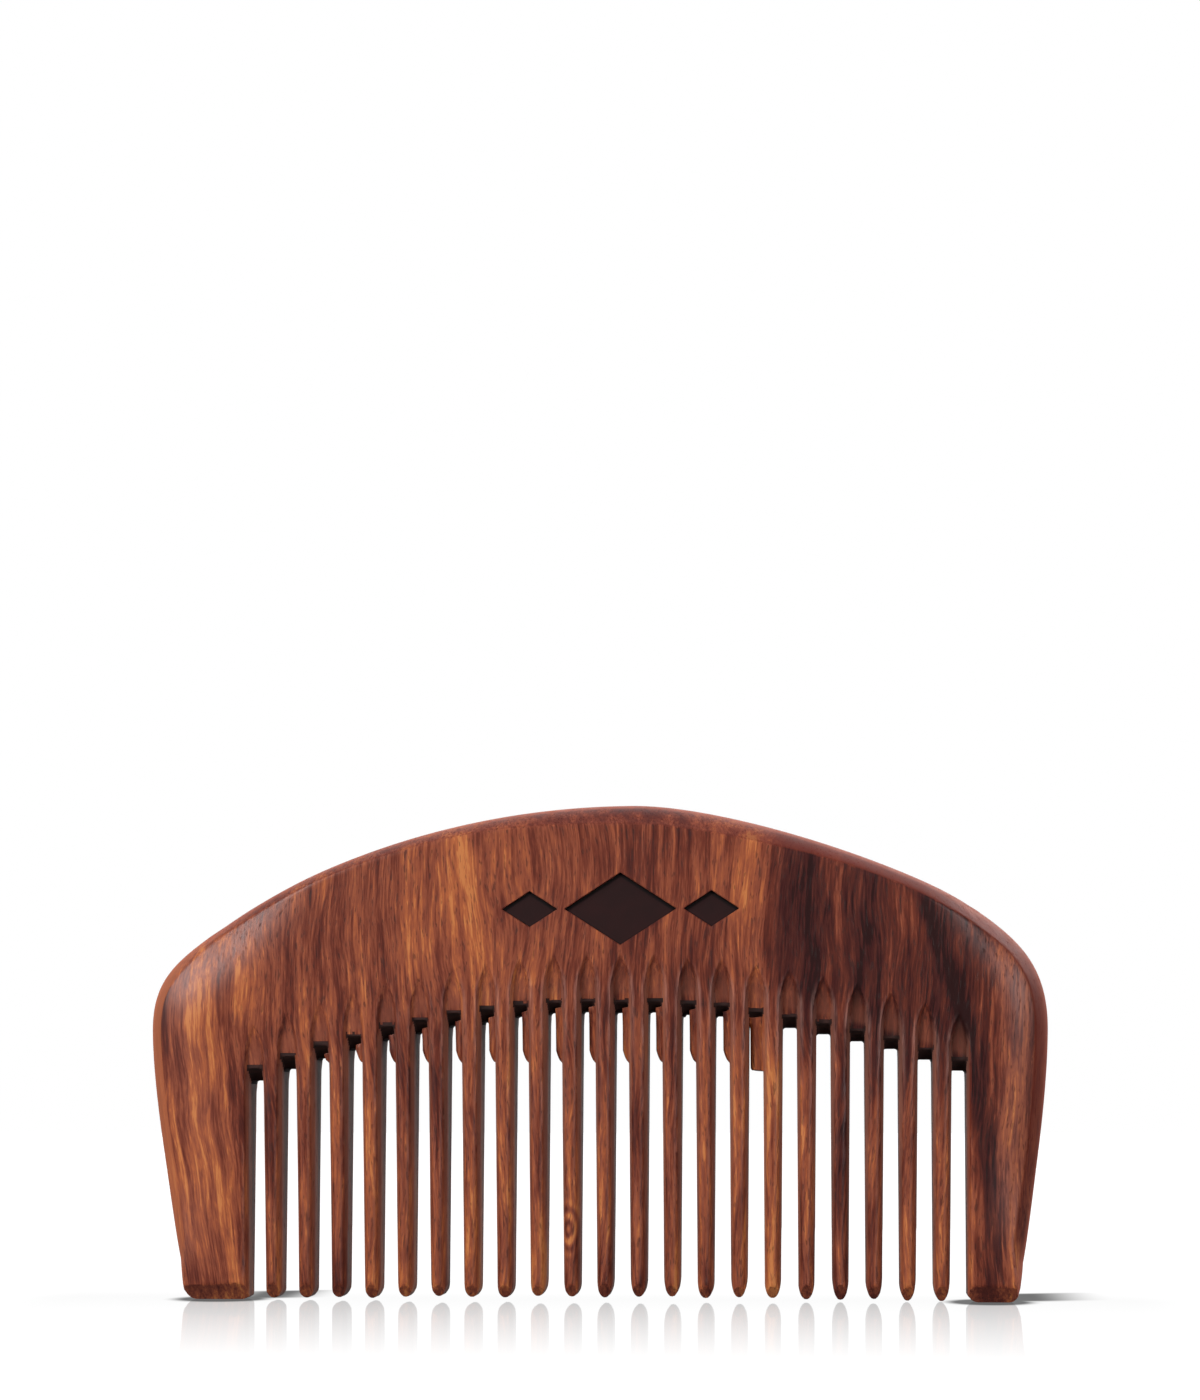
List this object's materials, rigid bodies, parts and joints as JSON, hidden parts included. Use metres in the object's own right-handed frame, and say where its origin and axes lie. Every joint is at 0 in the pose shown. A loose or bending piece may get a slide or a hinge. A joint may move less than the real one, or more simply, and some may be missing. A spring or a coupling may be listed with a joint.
{
  "type": "beard comb",
  "caption": "Arched wooden beard comb: a row of tapered round-tipped teeth between two broad end guards, with a recessed dark lozenge decoration on the front face.",
  "frame": {"origin": "centre of the footprint, on the surface that the two end guards stand on", "axes": "+X along the comb's width, -Y out of the decorated front face, +Z from the tips of the teeth to the arched back"},
  "size_m": [0.1, 0.008, 0.0549],
  "materials": {
    "wood": "hand-sanded and oiled, satin",
    "mark_fill": "flat dark resin fill"
  },
  "bodies": {
    "root": {"comb_back": "wood", "left_guard": "wood", "right_guard": "wood", "tooth_01": "wood", "tooth_02": "wood", "tooth_03": "wood", "tooth_04": "wood", "tooth_05": "wood", "tooth_06": "wood", "tooth_07": "wood", "tooth_08": "wood", "tooth_09": "wood", "tooth_10": "wood", "tooth_11": "wood", "tooth_12": "wood", "tooth_13": "wood", "tooth_14": "wood", "tooth_15": "wood", "tooth_16": "wood", "tooth_17": "wood", "tooth_18": "wood", "tooth_19": "wood", "tooth_20": "wood", "tooth_21": "wood", "inlay_left": "mark_fill", "inlay_centre": "mark_fill", "inlay_right": "mark_fill"}
  },
  "joints": []
}
